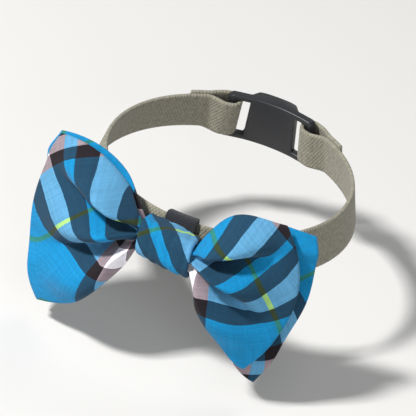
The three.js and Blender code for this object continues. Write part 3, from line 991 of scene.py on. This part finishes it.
# %% Elastic loop
def elastic_loop(steps=24, around=96):
    """A thin sleeve round the strap's section, following the curve of the neck."""
    x = (crowd_ends(steps, strength=0.6) * LOOP_LENGTH / 2)[:, None]
    lap = (np.arange(around + 1) / around)[None, :]
    share = lap[:, :-1]
    thin = round_edge(LOOP_LENGTH / 2 - abs(x), LOOP_WALL / 2)
    half_width, half_depth = (size / 2 + GAP + LOOP_WALL for size in (STRAP_WIDTH, STRAP_WALL))
    a, b, length = rounded_section(share, half_width, half_depth, LOOP_CORNER, LOOP_CORNER)
    grids = []
    for face in (1, -1):
        grow = GAP + LOOP_WALL / 2 * (1 + face * thin)
        up = a * (STRAP_WIDTH / 2 + grow) / half_width
        out = b * (STRAP_WALL / 2 + grow) / half_depth
        grids.append(on_neck(np.pi - nape_angle(x) + 0 * share, out, up))
    flat = np.stack(np.broadcast_arrays(x, lap * length), -1)
    return sleeve("elastic_band", grids[0], grids[1], flat)


elastic = elastic_loop()
elastic.data.materials.append(woven_band("black_elastic", (40, 42, 48), pick=1.2, wales=0.6))
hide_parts("slide_loop")

# %% [markdown]
# The clasp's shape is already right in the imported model, but moulded plastic has no sharp edges. The
# node itself is loose triangles, so a copy of it is merged into one surface, its flat faces are
# joined, and a Bevel modifier rounds what is left: the real edges.

# %% Clasp
MERGE_DISTANCE = 0.00001
FLAT_ANGLE, EDGE_ANGLE = math.radians(1.5), math.radians(35)


def moulded_copy(name, source, width, segments=3):
    """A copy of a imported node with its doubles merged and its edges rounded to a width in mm."""
    piece = bpy.data.objects.new(name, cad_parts[source].data.copy())
    shape = bmesh.new()
    shape.from_mesh(piece.data)
    bmesh.ops.remove_doubles(shape, verts=shape.verts, dist=MERGE_DISTANCE)
    bmesh.ops.dissolve_limit(shape, angle_limit=FLAT_ANGLE, verts=shape.verts, edges=shape.edges)
    shape.to_mesh(piece.data)
    shape.free()
    piece.data.materials.clear()
    bpy.context.scene.collection.objects.link(piece)
    bevel = piece.modifiers.new("edges", "BEVEL")
    bevel.width, bevel.segments = width * MM, segments
    bevel.limit_method, bevel.angle_limit = "ANGLE", EDGE_ANGLE
    piece.data.polygons.foreach_set("use_smooth", np.ones(len(piece.data.polygons), bool))
    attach(piece, "root")
    print(name, len(piece.data.polygons), "faces before its bevel")
    return piece


# %% [markdown]
# Clasps of this kind are moulded in black nylon. It isn't glossy: the mould is etched, so the plastic
# comes out with a fine grain and a satin shine. A middling roughness gives the shine, and a fine
# noise bump breaks up the highlights.

# %% Plastic
def moulded_plastic(name, colour):
    """Black nylon: a fine moulded grain under a satin surface."""
    material, shader = new_material(name, roughness=0.42)
    shader.inputs["Base Color"].default_value = linear(colour)
    place = node(material, "ShaderNodeTexCoord").outputs["Object"]
    grain = node(material, "ShaderNodeTexNoise", {"Vector": place, "Scale": 2200, "Detail": 2})
    bump(material, shader, grain.outputs[0], distance=0.04, strength=0.6)
    return material


clasp = moulded_copy("clasp_body", "clasp", 0.55)
clasp.data.materials.append(moulded_plastic("black_plastic", (34, 35, 38)))
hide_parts("clasp")

# %% [markdown]
# The stage is a plain pale floor just below the collar. The key light stands at the viewer's upper
# left, as in the photograph, and is small enough to give the creases clear shadows. Two large weak
# lights and a pale sky keep the folds readable.

# %% Stage and lights
FLOOR_HALF, FLOOR_DROP = 4.0, 0.006
FLOOR_COLOUR, SKY_COLOUR, SKY_STRENGTH = (0.66, 0.65, 0.63, 1), (0.93, 0.96, 1.0, 1), 0.22


def add_floor(height, half=FLOOR_HALF):
    """A wide pale plane that isn't part of the object."""
    mesh = bpy.data.meshes.new("floor")
    mesh.from_pydata([(-half, -half, height), (half, -half, height), (half, half, height),
                      (-half, half, height)], [], [(0, 1, 2, 3)])
    floor = bpy.data.objects.new("floor", mesh)
    bpy.context.scene.collection.objects.link(floor)
    material, shader = new_material("floor_paper", roughness=0.9)
    shader.inputs["Base Color"].default_value = FLOOR_COLOUR
    mesh.materials.append(material)
    floor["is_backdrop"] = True


def add_light(name, place, size, power):
    """A square soft light aimed at the collar."""
    data = bpy.data.lights.new(name, "AREA")
    data.size, data.energy = size, power
    light = bpy.data.objects.new(name, data)
    light.location = place
    aim = -light.location
    light.rotation_euler = aim.to_track_quat("-Z", "Y").to_euler()
    bpy.context.scene.collection.objects.link(light)


add_floor(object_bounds()[0][2] - FLOOR_DROP)
add_light("key", (-0.7, -0.66, 1.1), size=0.18, power=29)
add_light("fill", (0.7, -1.0, 0.35), size=0.8, power=6)
add_light("back", (0.2, 1.0, 0.9), size=0.6, power=4)
world = bpy.data.worlds.new("studio")
world.use_nodes = True
sky = world.node_tree.nodes["Background"]
sky.inputs["Color"].default_value = SKY_COLOUR
sky.inputs["Strength"].default_value = SKY_STRENGTH
bpy.context.scene.world = world
bpy.context.scene.view_settings.view_transform = "Standard"

# %% Check and finish
visual_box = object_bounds()
for corner, (seen, packed) in enumerate(zip(visual_box, cad_box)):
    print("corner", corner, "lies", [round((a - b) / MM, 1) for a, b in zip(seen, packed)],
          "mm from the packed one")
